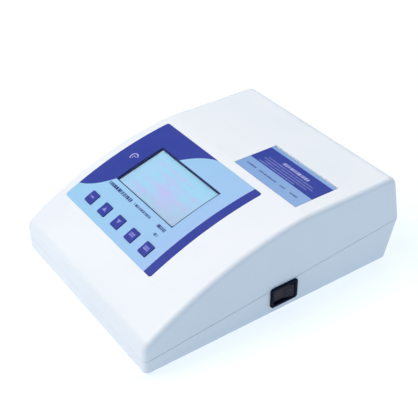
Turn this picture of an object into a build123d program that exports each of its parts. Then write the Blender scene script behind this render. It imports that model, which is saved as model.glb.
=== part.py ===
from build123d import *
import os
from math import atan2, cos, degrees, radians, sin, sqrt

os.makedirs("parts", exist_ok=True)

# Frame: millimetres, +Z up, origin on the table under the middle of the casing.
# -Y is the front (keys), +Y the rear (mains inlet), +X the side with the switch.

# Casing
width = 210.0
front_y = -138.7
foot_height = 3.0
base = foot_height
wall = 2.6
plateau_height = 90.4
crease_y = 23.5
crease_angle = 6.51
top_radius = 357.8
rear_top_y = 128.0
ridge_y = 138.5
ridge_height = 41.7
rear_bottom_y = 126.57
nose_radius = 11.5
ridge_radius = 5.0
bottom_fillet = 2.5
crease_radius = 60.0
side_fillet = 5.0
seam_front_height = 13.88
seam_gap = 0.4
lip_height = 3.0

# Keypad overlay, display and keys
skin = 0.45
overlay_x = (-92.6, 56.1)
overlay_y = (-101.4, 14.9)
display_x = (-63.8, 28.7)
display_y = (-60.8, -10.2)
window_depth = 1.6
window_thickness = 1.5
window_size = (98.4, 59.6)
lcd_size = (95.0, 56.0)
lcd_depth = 3.3
lcd_thickness = 2.3
key_size = (11.5, 12.0)
key_gap = 0.4
key_y = -87.9
key_pitch = 23.4
key_count = 5
key_middle_x = -17.4
key_rise = 0.9

# Sample lid, label and chamber
lid_x = (2.0, 88.3)
lid_y = (25.0, 71.1)
lid_thickness = 2.7
lid_gap = 0.4
label_thickness = 0.3
label_end_y = 72.6
barrel_radius = 2.0
hinge_pin_radius = 0.9
running_clearance = 0.05
chamber_x = (14.0, 84.0)
chamber_y = (31.0, 69.0)
beam_height = 48.5
plate_top = 23.5
plate_thickness = 4.0
sample_centre = (49.0, 49.0)
cuvette_well = 12.6

# Monochromator
grating_centre = (-58.0, 49.0)
lamp_angle = 24.0

# Mains switch on the right side
switch_y = 2.6
switch_height = 18.1
switch_bezel = (29.2, 20.6)
switch_opening = (26.0, 17.0)
rocker_window = (22.4, 14.4)
rocker_angle = 7.0

top_z = base + plateau_height
beam_z = base + beam_height
plate_z = base + plate_top

arc_centre_y = crease_y + top_radius * sin(radians(crease_angle))
arc_centre_z = top_z - top_radius * cos(radians(crease_angle))


def top_surface(y):
    """Height of the sloping top above the table at a given y."""
    return arc_centre_z + sqrt(top_radius**2 - (y - arc_centre_y) ** 2)


def top_slope(y):
    """Rise of the sloping top towards the rear, in degrees."""
    return degrees(atan2(arc_centre_y - y, top_surface(y) - arc_centre_z))


def tilted_plane(x, y, z, angle):
    """Plane facing up whose local Y climbs towards the rear at the given angle."""
    normal = (0, -sin(radians(angle)), cos(radians(angle)))
    return Plane(origin=(x, y, z), x_dir=(1, 0, 0), z_dir=normal)


seam_angle = degrees(atan2(ridge_height - seam_front_height, ridge_y - front_y))
seam_plane = tilted_plane(0, front_y, base + seam_front_height, seam_angle)

display_mid_x = (display_x[0] + display_x[1]) / 2
display_mid_y = (display_y[0] + display_y[1]) / 2
display_rise = top_surface(display_y[1]) - top_surface(display_y[0])
display_angle = degrees(atan2(display_rise, display_y[1] - display_y[0]))
display_mid_z = (top_surface(display_y[0]) + top_surface(display_y[1])) / 2
display_plane = tilted_plane(display_mid_x, display_mid_y, display_mid_z, display_angle)
display_size = (display_x[1] - display_x[0], sqrt(display_rise**2 + (display_y[1] - display_y[0]) ** 2))

key_plane = tilted_plane(key_middle_x, key_y, top_surface(key_y), top_slope(key_y))
key_offsets = [(index - (key_count - 1) / 2) * key_pitch for index in range(key_count)]


def casing_block(inset):
    """Solid with the casing's outline, inset from the outer skin."""
    with BuildPart() as block:
        with BuildSketch(Plane.YZ) as outline:
            with BuildLine():
                l1 = Line((rear_bottom_y, base), (front_y, base))
                l2 = Line(l1 @ 1, (front_y, top_surface(front_y)))
                middle_y = (front_y + crease_y) / 2
                l3 = ThreePointArc(l2 @ 1, (middle_y, top_surface(middle_y)), (crease_y, top_z))
                l4 = Line(l3 @ 1, (rear_top_y, top_z))
                l5 = Line(l4 @ 1, (ridge_y, base + ridge_height))
                Line(l5 @ 1, l1 @ 0)
            make_face()
            corner_radii = {
                (front_y, top_surface(front_y)): nose_radius,
                (crease_y, top_z): crease_radius,
                (rear_top_y, top_z): nose_radius,
                (ridge_y, base + ridge_height): ridge_radius,
            }
            for (y, z), radius in corner_radii.items():
                fillet(outline.vertices().sort_by_distance((y, z, 0))[0], radius=radius)
            if inset > 0:
                offset(amount=-inset, mode=Mode.REPLACE)
        extrude(amount=width / 2 - inset, both=True)
        sides = block.faces().sort_by(Axis.X)
        side_edges = sides[0].edges() + sides[-1].edges()
        fillet(side_edges.filter_by(lambda edge: edge.center().Z > base + inset + 1), radius=side_fillet - inset)
        if bottom_fillet - inset > 0.6:
            fillet(block.faces().sort_by(Axis.Z)[0].edges(), radius=bottom_fillet - inset)
    return block.part


def casing_ring(outer_inset, inner_inset, low, high):
    """Band of casing wall between two distances from the seam plane."""
    with BuildPart() as ring:
        add(casing_block(outer_inset))
        add(casing_block(inner_inset), mode=Mode.SUBTRACT)
        split(bisect_by=seam_plane.offset(low), keep=Keep.TOP)
        split(bisect_by=seam_plane.offset(high), keep=Keep.BOTTOM)
    return ring.part


def cuboid(x, y, z, mode=Mode.ADD):
    """Box between pairs of limits in the active part."""
    with Locations(((x[0] + x[1]) / 2, (y[0] + y[1]) / 2, (z[0] + z[1]) / 2)):
        Box(x[1] - x[0], y[1] - y[0], z[1] - z[0], mode=mode)


def post(x, y, z, radius, mode=Mode.ADD):
    """Upright cylinder between two heights in the active part."""
    with Locations((x, y, (z[0] + z[1]) / 2)):
        Cylinder(radius, z[1] - z[0], mode=mode)


def plan_rectangle(x, y, z, height, radius, mode):
    """Extruded rounded rectangle between plan limits in the active part."""
    with BuildSketch(Plane.XY.offset(z)) as outline:
        with Locations(((x[0] + x[1]) / 2, (y[0] + y[1]) / 2)):
            RectangleRounded(x[1] - x[0], y[1] - y[0], radius)
    extrude(outline.sketch, amount=height, mode=mode)


def display_opening(mode):
    """Window cut square to the display."""
    with BuildSketch(display_plane.offset(-10)) as outline:
        RectangleRounded(display_size[0], display_size[1], 1.5)
    extrude(outline.sketch, amount=20, mode=mode)


def key_openings(mode):
    """Row of key holes cut square to the keypad."""
    with BuildSketch(key_plane.offset(-8)) as outline:
        with Locations(*[(offset_x, 0) for offset_x in key_offsets]):
            RectangleRounded(key_size[0] + 2 * key_gap, key_size[1] + 2 * key_gap, 1.2)
    extrude(outline.sketch, amount=16, mode=mode)


def overlay_sheet(margin):
    """Skin-deep sheet following the sloping top inside the overlay's outline."""
    x = (overlay_x[0] + margin, overlay_x[1] - margin)
    y = (overlay_y[0] + margin, overlay_y[1] - margin)
    with BuildPart() as sheet:
        add(casing_block(0))
        add(casing_block(skin), mode=Mode.SUBTRACT)
        plan_rectangle(x, y, base + 40, 60, 2.5, Mode.INTERSECT)
    return sheet.part


def save(part, name):
    """Label a finished part and write its file."""
    part.label = name
    export_step(part, f"parts/{name}.step")


display_post_foot = -3.6
case_posts = [(-94.0, -118.0), (94.0, -118.0), (93.0, 116.0), (-92.0, 92.0)]
case_post_joint = base + 20
plate_posts = [(-68.0, 28.0), (92.0, 28.0), (92.0, 100.0), (-68.0, 88.0)]
main_board_x = (-75.0, 75.0)
main_board_y = (-124.0, -36.0)
power_board_x = (-95.0, -5.0)
power_board_y = (-28.0, 16.0)
board_z = (base + 8, base + 9.6)
board_posts = [(x, y) for x in (-70.0, 70.0) for y in (-119.0, -41.0)]
board_posts += [(x, y) for x in (-91.0, -9.0) for y in (-24.0, 12.0)]
foot_centres = [(-78.0, -116.0), (78.0, -116.0), (-78.0, 104.0), (78.0, 104.0)]

rear_angle = degrees(atan2(ridge_y - rear_bottom_y, ridge_height))
rear_normal = (0, cos(radians(rear_angle)), -sin(radians(rear_angle)))
rear_middle = (0, (ridge_y + rear_bottom_y) / 2, base + ridge_height / 2)
rear_plane = Plane(origin=rear_middle, x_dir=(-1, 0, 0), z_dir=rear_normal)
inlet_x = 70.0
port_x = -14.0
fan_x = -62.0
fan_y = 1.0

hinge_y = lid_y[1]
hinge_z = top_z - barrel_radius
hinge_boss_x = [(-4.4, lid_x[0] - lid_gap), (lid_x[1] + lid_gap, lid_x[1] + 6.4)]
switch_z = base + switch_height

# Upper case: sloping top, plateau, lid opening, key holes, display opening and screw posts

with BuildPart() as upper_posts:
    for x, y in case_posts:
        post(x, y, (case_post_joint, top_z), 4.0)
    with BuildSketch(key_plane.offset(-10.7)):
        with Locations((-57.5, 0), (57.5, 0)):
            Circle(2.5)
    extrude(amount=9.7)
    with BuildSketch(display_plane.offset(display_post_foot)):
        with GridLocations(102.2, 63.2, 2, 2):
            Circle(1.6)
    extrude(amount=2.6)
    for x in hinge_boss_x:
        cuboid(x, (hinge_y - 3.4, hinge_y + 3.4), (hinge_z - 3.4, top_z))
    add(casing_block(0.8), mode=Mode.INTERSECT)

with BuildPart() as upper_case:
    add(casing_block(0))
    add(casing_block(wall), mode=Mode.SUBTRACT)
    split(bisect_by=seam_plane.offset(seam_gap / 2), keep=Keep.TOP)
    add(upper_posts.part)
    add(overlay_sheet(0), mode=Mode.SUBTRACT)
    display_opening(Mode.SUBTRACT)
    with BuildSketch(display_plane.offset(-6)):
        RectangleRounded(window_size[0] + 0.4, window_size[1] + 0.4, 2.2)
    extrude(amount=6 - window_depth, mode=Mode.SUBTRACT)
    key_openings(Mode.SUBTRACT)
    opening_x = (lid_x[0] - lid_gap, lid_x[1] + lid_gap)
    opening_y = (lid_y[0] - lid_gap, hinge_y + barrel_radius + lid_gap)
    cuboid(opening_x, opening_y, (top_z - 8, top_z + 2), mode=Mode.SUBTRACT)
    with BuildSketch(Plane.YZ.offset(hinge_boss_x[0][0] + 1)):
        with Locations((hinge_y, hinge_z)):
            Circle(hinge_pin_radius)
    extrude(amount=hinge_boss_x[1][1] - hinge_boss_x[0][0] - 2, mode=Mode.SUBTRACT)
    for x, y in case_posts:
        post(x, y, (case_post_joint - 1, base + 31), 1.5, mode=Mode.SUBTRACT)
save(upper_case.part, "upper_case")

# Lower case: tray with lip, posts, vents and the openings for switch, inlet, port and fan

with BuildPart() as lower_posts:
    for x, y in case_posts:
        post(x, y, (base + 1, case_post_joint), 4.8)
    for x, y in plate_posts:
        post(x, y, (base + 1, plate_z - plate_thickness), 4.0)
    for x, y in board_posts:
        post(x, y, (base + 1, board_z[0]), 3.2)
    with BuildSketch(rear_plane.offset(-14)):
        with Locations((port_x - 18, 2), (port_x + 18, 2)):
            Circle(2.5)
    extrude(amount=13)

with BuildPart() as lower_case:
    add(casing_block(0))
    add(casing_block(wall), mode=Mode.SUBTRACT)
    split(bisect_by=seam_plane.offset(-seam_gap / 2), keep=Keep.BOTTOM)
    add(casing_ring(wall + 0.15, wall + 1.4, -lip_height, lip_height))
    add(casing_ring(wall - 0.6, wall + 1.4, -lip_height, -0.8))
    add(lower_posts.part)
    with BuildSketch(Plane.YZ.offset(width / 2 - 8)):
        with Locations((switch_y, switch_z)):
            Rectangle(*switch_opening)
    extrude(amount=10, mode=Mode.SUBTRACT)
    with BuildSketch(rear_plane.offset(-6)):
        with Locations((inlet_x, 1.9)):
            Rectangle(28.4, 29.8)
        with Locations((port_x, 2)):
            Rectangle(12.8, 11.6)
        with Locations((fan_x, fan_y)):
            with GridLocations(0, 4.4, 1, 5):
                SlotOverall(23, 2.2)
            with GridLocations(24, 24, 2, 2):
                Circle(1.3)
        with Locations((inlet_x - 20, 1.9), (inlet_x + 20, 1.9)):
            Circle(1.5)
    extrude(amount=8, mode=Mode.SUBTRACT)
    with BuildSketch(Plane.XY.offset(base - 1)):
        with Locations((44, 76)):
            with GridLocations(7, 0, 7, 1):
                SlotOverall(34, 2.6, rotation=90)
    extrude(amount=5, mode=Mode.SUBTRACT)
    for x, y in case_posts:
        post(x, y, (base - 1, case_post_joint + 1), 1.7, mode=Mode.SUBTRACT)
        post(x, y, (base - 1, base + 5), 3.3, mode=Mode.SUBTRACT)
    for x, y in plate_posts:
        post(x, y, (base + 10, plate_z), 1.25, mode=Mode.SUBTRACT)
    for x, y in board_posts:
        post(x, y, (base + 3.6, board_z[1]), 1.1, mode=Mode.SUBTRACT)
    for x, y in foot_centres:
        post(x, y, (base - 1, base + 1), 7.2, mode=Mode.SUBTRACT)
save(lower_case.part, "lower_case")

# Printed keypad overlay

with BuildPart() as keypad_overlay:
    add(overlay_sheet(0.15))
    display_opening(Mode.SUBTRACT)
    key_openings(Mode.SUBTRACT)
save(keypad_overlay.part, "keypad_overlay")

# Display stack under the sloping top

with BuildPart() as display_window:
    with BuildSketch(display_plane.offset(-window_depth - window_thickness)):
        RectangleRounded(*window_size, 2)
    extrude(amount=window_thickness)
save(display_window.part, "display_window")

lcd_back = -lcd_depth - lcd_thickness
with BuildPart() as lcd_panel:
    with BuildSketch(display_plane.offset(lcd_back)):
        Rectangle(*lcd_size)
    extrude(amount=lcd_thickness)
save(lcd_panel.part, "lcd_panel")

frame_back = lcd_back - 2.0
with BuildPart() as lcd_frame:
    with BuildSketch(display_plane.offset(frame_back)):
        RectangleRounded(107.0, 68.0, 2)
    extrude(amount=display_post_foot - frame_back)
    with BuildSketch(display_plane.offset(display_post_foot)):
        RectangleRounded(window_size[0] - 0.4, window_size[1] - 0.4, 1.8)
    extrude(amount=-window_depth - window_thickness - 0.05 - display_post_foot)
    with BuildSketch(display_plane.offset(lcd_back)):
        Rectangle(lcd_size[0] + 0.4, lcd_size[1] + 0.4)
    extrude(amount=8, mode=Mode.SUBTRACT)
save(lcd_frame.part, "lcd_frame")

with BuildPart() as display_board:
    with BuildSketch(display_plane.offset(frame_back - 1.6)):
        RectangleRounded(98.0, 58.0, 2)
        with GridLocations(90, 50, 2, 2):
            Circle(1.5, mode=Mode.SUBTRACT)
    extrude(amount=1.6)
    with BuildSketch(display_plane.offset(frame_back - 4.6)):
        with Locations((-20, 8)):
            Rectangle(14, 14)
        with Locations((18, -14)):
            Rectangle(30, 5)
    extrude(amount=3.0)
save(display_board.part, "display_board")

# Keys with their retaining flanges and plungers, over a board of tact switches

for index, offset_x in enumerate(key_offsets):
    with BuildPart() as key:
        with BuildSketch(key_plane.offset(-wall - 0.4)):
            with Locations((offset_x, 0)):
                RectangleRounded(*key_size, 0.8)
        extrude(amount=wall + 0.4 + key_rise)
        fillet(key.faces().sort_by(Axis.Z)[-1].edges(), radius=0.4)
        with BuildSketch(key_plane.offset(-wall - 1.6)):
            with Locations((offset_x, 0)):
                RectangleRounded(key_size[0] + 2.2, key_size[1] + 2.2, 0.8)
        extrude(amount=1.2)
        with BuildSketch(key_plane.offset(-6.2)):
            with Locations((offset_x, 0)):
                Circle(1.75)
        extrude(amount=2.4)
    save(key.part, f"key_{index + 1}")

with BuildPart() as key_board:
    with BuildSketch(key_plane.offset(-12.3)):
        RectangleRounded(122.0, 16.0, 1.5)
    extrude(amount=1.6)
    with BuildSketch(key_plane.offset(-10.7)):
        with Locations(*[(offset_x, 0) for offset_x in key_offsets]):
            Rectangle(6, 6)
    extrude(amount=3.3)
save(key_board.part, "key_board")

# Sample lid with its rolled hinge edge, printed label, seal and hinge pin


def lid_section(inset):
    """Lid's section across the hinge, its top and its rolled edge inset from the outer face."""
    with BuildSketch(Plane.YZ.offset(lid_x[0])) as outline:
        with Locations((lid_y[0], top_z - inset)):
            Rectangle(hinge_y - lid_y[0], lid_thickness - inset, align=(Align.MIN, Align.MAX))
        with Locations((hinge_y, hinge_z)):
            Circle(barrel_radius - inset)
    return outline.sketch


with BuildPart() as info_label:
    extrude(lid_section(0), amount=lid_x[1] - lid_x[0])
    extrude(lid_section(label_thickness), amount=lid_x[1] - lid_x[0], mode=Mode.SUBTRACT)
    cuboid(lid_x, (lid_y[0], label_end_y), (top_z - 1.1, top_z), mode=Mode.INTERSECT)
save(info_label.part, "info_label")

with BuildPart() as sample_lid:
    extrude(lid_section(0), amount=lid_x[1] - lid_x[0])
    add(info_label.part, mode=Mode.SUBTRACT)
    with BuildSketch(Plane.YZ.offset(lid_x[0])):
        with Locations((hinge_y, hinge_z)):
            Circle(hinge_pin_radius + running_clearance)
    extrude(amount=lid_x[1] - lid_x[0], mode=Mode.SUBTRACT)
save(sample_lid.part, "sample_lid")

with BuildPart() as lid_seal:
    cuboid((13.0, 85.0), (30.0, 69.0), (top_z - 3.5, top_z - lid_thickness))
    cuboid((15.5, 82.5), (32.5, 66.5), (top_z - 3.6, top_z - 2.6), mode=Mode.SUBTRACT)
save(lid_seal.part, "lid_seal")

with BuildPart() as lid_hinge_pin:
    with BuildSketch(Plane.YZ.offset(hinge_boss_x[0][0] + 1)):
        with Locations((hinge_y, hinge_z)):
            Circle(hinge_pin_radius)
    extrude(amount=hinge_boss_x[1][1] - hinge_boss_x[0][0] - 2)
save(lid_hinge_pin.part, "lid_hinge_pin")

# Sample chamber, cuvette holder and push latch

latch_x = 8.6
latch_y = 34.0
flange_z = (top_z - 6.3, top_z - 3.8)

with BuildPart() as sample_chamber:
    cuboid(chamber_x, chamber_y, (plate_z, flange_z[1]))
    cuboid((4.0, 88.0), (27.0, 69.4), flange_z)
    cavity_x = (chamber_x[0] + 2.5, chamber_x[1] - 2.5)
    cavity_y = (chamber_y[0] + 2.5, chamber_y[1] - 2.5)
    cuboid(cavity_x, cavity_y, (plate_z + 3, top_z), mode=Mode.SUBTRACT)
    with BuildSketch(Plane.YZ.offset(chamber_x[0] - 1)):
        with Locations((sample_centre[1], beam_z)):
            Circle(4)
    extrude(amount=chamber_x[1] - chamber_x[0] + 2, mode=Mode.SUBTRACT)
    post(latch_x, latch_y, (flange_z[0] - 1, flange_z[1] + 1), 2.1, mode=Mode.SUBTRACT)
save(sample_chamber.part, "sample_chamber")

with BuildPart() as cuvette_holder:
    holder_x = (sample_centre[0] - 13, sample_centre[0] + 13)
    holder_y = (sample_centre[1] - 13, sample_centre[1] + 13)
    well_x = (sample_centre[0] - cuvette_well / 2, sample_centre[0] + cuvette_well / 2)
    well_y = (sample_centre[1] - cuvette_well / 2, sample_centre[1] + cuvette_well / 2)
    cuboid(holder_x, holder_y, (plate_z + 3, plate_z + 45))
    cuboid(well_x, well_y, (beam_z - 15, beam_z + 45), mode=Mode.SUBTRACT)
    with BuildSketch(Plane.YZ.offset(sample_centre[0] - 14)):
        with Locations((sample_centre[1], beam_z)):
            SlotOverall(12, 6, rotation=90)
    extrude(amount=28, mode=Mode.SUBTRACT)
save(cuvette_holder.part, "cuvette_holder")

with BuildPart() as latch_body:
    post(latch_x, latch_y, (flange_z[0] - 14, flange_z[0]), 3.8)
    post(latch_x, latch_y, (flange_z[0] - 12, flange_z[0]), 2.1, mode=Mode.SUBTRACT)
save(latch_body.part, "latch_body")

with BuildPart() as latch_plunger:
    post(latch_x, latch_y, (flange_z[0] - 9, top_z - 3.0), 1.8)
    fillet(latch_plunger.faces().sort_by(Axis.Z)[-1].edges(), radius=0.8)
save(latch_plunger.part, "latch_plunger")

# Optical plate on its posts

drop = beam_height - plate_top

with BuildPart() as optical_plate:
    cuboid((-74.0, 99.0), (22.0, 106.0), (plate_z - plate_thickness, plate_z))
    through_z = (plate_z - plate_thickness - 1, plate_z + 1)
    cuboid((-75.0, -42.0), (97.0, 107.0), through_z, mode=Mode.SUBTRACT)
    for x, y in plate_posts:
        post(x, y, through_z, 1.6, mode=Mode.SUBTRACT)
    post(*grating_centre, through_z, 4.2, mode=Mode.SUBTRACT)
save(optical_plate.part, "optical_plate")


def across(distance, angle):
    """Upright plane across the beam, at a distance from the grating."""
    direction = (cos(radians(angle)), sin(radians(angle)), 0)
    origin = (
        grating_centre[0] + distance * direction[0],
        grating_centre[1] + distance * direction[1],
        beam_z,
    )
    return Plane(origin=origin, x_dir=(-direction[1], direction[0], 0), z_dir=direction)


def beam_plate(distance, thickness, plate_width, rise, angle, bore):
    """Upright plate standing on the optical plate with a bore for the beam."""
    with BuildPart() as upright:
        with BuildSketch(across(distance, angle)):
            with Locations((0, (rise - drop) / 2)):
                Rectangle(plate_width, rise + drop)
            Circle(bore, mode=Mode.SUBTRACT)
        extrude(amount=thickness)
    return upright.part


# Lamp and its shield, condenser lens, order filters, slits

lamp_distance = 112.0
lens_distance = 90.0
lens_radius = 8.0
bracket_distance = 71.0
wheel_distance = 67.0
wheel_offset = 10.0

with BuildPart() as lamp_shield:
    with BuildSketch(across(lamp_distance - 12, lamp_angle)):
        with Locations((0, (20 - drop) / 2)):
            Rectangle(22, 20 + drop)
    extrude(amount=24)
    with BuildSketch(across(lamp_distance - 11, lamp_angle)):
        with Locations((0, (21 - drop) / 2)):
            Rectangle(20, 21 + drop)
    extrude(amount=22, mode=Mode.SUBTRACT)
    with BuildSketch(across(lamp_distance - 14, lamp_angle)):
        Circle(5)
    extrude(amount=6, mode=Mode.SUBTRACT)
save(lamp_shield.part, "lamp_shield")

lamp_x = grating_centre[0] + lamp_distance * cos(radians(lamp_angle))
lamp_y = grating_centre[1] + lamp_distance * sin(radians(lamp_angle))

with BuildPart() as lamp_socket:
    post(lamp_x, lamp_y, (plate_z, plate_z + 13), 7.0)
save(lamp_socket.part, "lamp_socket")

with BuildPart() as lamp_bulb:
    post(lamp_x, lamp_y, (plate_z + 13, plate_z + 33), 4.5)
    fillet(lamp_bulb.faces().sort_by(Axis.Z)[-1].edges(), radius=4.0)
save(lamp_bulb.part, "lamp_bulb")

save(beam_plate(lens_distance, 4, 21, 12, lamp_angle, lens_radius), "lens_mount")

with BuildPart() as condenser_lens:
    with BuildSketch(across(lens_distance, lamp_angle)):
        Circle(lens_radius)
    extrude(amount=4)
    fillet(condenser_lens.edges().filter_by(GeomType.CIRCLE), radius=1.6)
save(condenser_lens.part, "condenser_lens")

with BuildPart() as filter_bracket:
    add(beam_plate(bracket_distance, 1.5, 22, 20, lamp_angle, 4.0))
    with BuildSketch(across(bracket_distance - 1, lamp_angle)):
        with Locations((0, wheel_offset)):
            Circle(2.2)
    extrude(amount=4, mode=Mode.SUBTRACT)
save(filter_bracket.part, "filter_bracket")

with BuildPart() as filter_motor:
    with BuildSketch(across(bracket_distance + 1.5, lamp_angle)):
        with Locations((0, wheel_offset)):
            Circle(5.8)
    extrude(amount=13)
    with BuildSketch(across(bracket_distance + 1.5, lamp_angle)):
        with Locations((0, wheel_offset)):
            Circle(1.05)
    extrude(amount=9, mode=Mode.SUBTRACT)
save(filter_motor.part, "filter_motor")

with BuildPart() as filter_wheel:
    with BuildSketch(across(wheel_distance, lamp_angle)):
        with Locations((0, wheel_offset)):
            Circle(14)
            with PolarLocations(wheel_offset, 6, start_angle=-90):
                Circle(3.2, mode=Mode.SUBTRACT)
    extrude(amount=1.6)
    with BuildSketch(across(wheel_distance - 1, lamp_angle)):
        with Locations((0, wheel_offset)):
            Circle(3)
    extrude(amount=3.4)
    with BuildSketch(across(wheel_distance, lamp_angle)):
        with Locations((0, wheel_offset)):
            Circle(1.0)
    extrude(amount=13)
save(filter_wheel.part, "filter_wheel")

with BuildPart() as order_filters:
    with BuildSketch(across(wheel_distance + 0.2, lamp_angle)):
        with Locations((0, wheel_offset)):
            with PolarLocations(wheel_offset, 6, start_angle=-90):
                Circle(3.2)
    extrude(amount=1.2)
save(order_filters.part, "order_filters")

slit_distance = 57.0

with BuildPart() as slit_mounts:
    for angle in (lamp_angle, 0.0):
        add(beam_plate(slit_distance, 2, 21, 13, angle, 4.0))
save(slit_mounts.part, "slit_mounts")

with BuildPart() as slit_blades:
    for angle in (lamp_angle, 0.0):
        with BuildSketch(across(slit_distance - 0.5, angle)):
            Circle(7)
            Rectangle(0.8, 8, mode=Mode.SUBTRACT)
        extrude(amount=0.5)
save(slit_blades.part, "slit_blades")

# Grating on its turntable, driven straight from a flat stepper under the plate

grating_x, grating_y = grating_centre
grating_face = across(0, lamp_angle / 2)

with BuildPart() as grating_motor:
    post(grating_x, grating_y, (base + 3.2, plate_z - plate_thickness), 14.0)
    post(grating_x, grating_y, (plate_z - plate_thickness, plate_z - 1.5), 4.0)
    post(grating_x, grating_y, (base + 8, plate_z), 1.55, mode=Mode.SUBTRACT)
save(grating_motor.part, "grating_motor")

with BuildPart() as grating_table:
    post(grating_x, grating_y, (base + 9, plate_z + 1), 1.5)
    post(grating_x, grating_y, (plate_z + 0.6, plate_z + 3), 5.0)
    post(grating_x, grating_y, (plate_z + 3, plate_z + 6), 13.0)
    with BuildSketch(grating_face.offset(-9)):
        with Locations((0, (13 - drop + 6) / 2)):
            Rectangle(24, 13 + drop - 6)
    extrude(amount=3)
    with BuildSketch(grating_face.offset(-6)):
        with Locations((0, (6 - drop - 11) / 2)):
            Rectangle(22, drop - 6 - 11)
    extrude(amount=6)
save(grating_table.part, "grating_table")

with BuildPart() as grating:
    with BuildSketch(grating_face.offset(-6)):
        Rectangle(22, 22)
    extrude(amount=6)
    with Locations(grating_face.offset(56).location):
        Sphere(57.2, mode=Mode.SUBTRACT)
save(grating.part, "grating")

# Detector on its board

with BuildPart() as detector_bracket:
    cuboid((94.6, 96.2), (38.0, 60.0), (plate_z, beam_z + 14))
save(detector_bracket.part, "detector_bracket")

with BuildPart() as detector_board:
    cuboid((93.0, 94.6), (38.0, 60.0), (beam_z - 15, beam_z + 14))
save(detector_board.part, "detector_board")

with BuildPart() as detector:
    with BuildSketch(Plane.YZ.offset(88.5)):
        with Locations((sample_centre[1], beam_z)):
            Circle(4.1)
    extrude(amount=4.5)
    with BuildSketch(Plane.YZ.offset(92.5)):
        with Locations((sample_centre[1], beam_z)):
            Circle(4.6)
    extrude(amount=0.5)
save(detector.part, "detector")

# Electronics on the floor

with BuildPart() as main_board:
    cuboid(main_board_x, main_board_y, board_z)
    for x, y in board_posts[:4]:
        post(x, y, (board_z[0] - 1, board_z[1] + 1), 1.4, mode=Mode.SUBTRACT)
save(main_board.part, "main_board")

chip_z = board_z[1]
with BuildPart() as board_parts:
    cuboid((-14.0, 14.0), (-92.0, -64.0), (chip_z, chip_z + 2.4))
    cuboid((-46.0, -32.0), (-88.0, -68.0), (chip_z, chip_z + 1.6))
    cuboid((30.0, 44.0), (-86.0, -70.0), (chip_z, chip_z + 1.6))
    cuboid((-30.0, 20.0), (-48.0, -42.0), (chip_z, chip_z + 8.0))
    cuboid((-60.0, -36.0), (-118.0, -112.0), (chip_z, chip_z + 6.0))
    post(56.0, -60.0, (chip_z, chip_z + 12), 5.0)
    post(44.0, -48.0, (chip_z, chip_z + 10), 4.0)
save(board_parts.part, "board_parts")

with BuildPart() as power_board:
    cuboid(power_board_x, power_board_y, board_z)
    for x, y in board_posts[4:]:
        post(x, y, (board_z[0] - 1, board_z[1] + 1), 1.4, mode=Mode.SUBTRACT)
save(power_board.part, "power_board")

with BuildPart() as transformer:
    cuboid((-62.0, -34.0), (-20.0, 8.0), (chip_z, chip_z + 5))
    cuboid((-59.0, -37.0), (-18.0, 6.0), (chip_z + 5, chip_z + 19))
    cuboid((-62.0, -34.0), (-20.0, 8.0), (chip_z + 19, chip_z + 23))
save(transformer.part, "transformer")

with BuildPart() as power_capacitors:
    post(-76.0, -8.0, (chip_z, chip_z + 24), 8.0)
    post(-24.0, 2.0, (chip_z, chip_z + 18), 5.0)
    post(-24.0, -14.0, (chip_z, chip_z + 18), 5.0)
save(power_capacitors.part, "power_capacitors")

# Mains switch: frame and body, rocker on two trunnions, terminals

rocker_x = width / 2 - 1.6
bezel_face = width / 2 + 2.2

with BuildPart() as switch_housing:
    with BuildSketch(Plane.YZ.offset(width / 2)):
        with Locations((switch_y, switch_z)):
            RectangleRounded(*switch_bezel, 2.6)
    extrude(amount=bezel_face - width / 2)
    fillet(switch_housing.faces().sort_by(Axis.X)[-1].edges(), radius=0.9)
    with BuildSketch(Plane.YZ.offset(width / 2 - 22)):
        with Locations((switch_y, switch_z)):
            Rectangle(switch_opening[0] - 0.4, switch_opening[1] - 0.4)
    extrude(amount=22)
    with BuildSketch(Plane.YZ.offset(width / 2 - 9)):
        with Locations((switch_y, switch_z)):
            Rectangle(*rocker_window)
    extrude(amount=12, mode=Mode.SUBTRACT)
    chamfer(switch_housing.faces().sort_by(Axis.X)[-1].inner_wires()[0].edges(), length=0.8)
    with Locations((rocker_x, switch_y, switch_z)):
        Cylinder(1.25, 16.2, mode=Mode.SUBTRACT)
save(switch_housing.part, "switch_housing")

with BuildPart() as switch_rocker:
    with BuildSketch(Plane.XY.offset(switch_z - rocker_window[1] / 2 + 0.4)):
        with BuildLine():
            Polyline(
                (rocker_x + 2.8, switch_y - 10.3),
                (rocker_x + 1.6, switch_y),
                (rocker_x + 2.8, switch_y + 10.3),
                (rocker_x + 0.4, switch_y + 10.6),
                (rocker_x - 4.2, switch_y + 5.0),
                (rocker_x - 4.2, switch_y - 5.0),
                (rocker_x + 0.4, switch_y - 10.6),
                close=True,
            )
        make_face()
    extrude(amount=rocker_window[1] - 0.8)
    outer_edges = switch_rocker.faces().sort_by(Axis.X)[-2:].edges()
    fillet(outer_edges.filter_by(lambda edge: abs(edge.center().Y - switch_y) > 1), radius=0.5)
    with Locations((rocker_x, switch_y, switch_z)):
        Cylinder(1.2, 15.8)
rocker_part = switch_rocker.part.rotate(Axis((rocker_x, switch_y, 0), (0, 0, 1)), -rocker_angle)
save(rocker_part, "switch_rocker")

with BuildPart() as switch_terminals:
    with Locations((width / 2 - 22 - 5, switch_y, switch_z)):
        with GridLocations(0, 11, 1, 2):
            Box(10, 0.8, 6.3)
save(switch_terminals.part, "switch_terminals")

# Mains inlet with fuse drawer, square to the raked rear wall


def rear_block(x, y, size, depth, mode=Mode.ADD):
    """Block on the rear wall: centre and size in its plane, then inner and outer depth."""
    with BuildSketch(rear_plane.offset(depth[0])) as outline:
        with Locations((x, y)):
            Rectangle(*size)
    extrude(outline.sketch, amount=depth[1] - depth[0], mode=mode)


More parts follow.
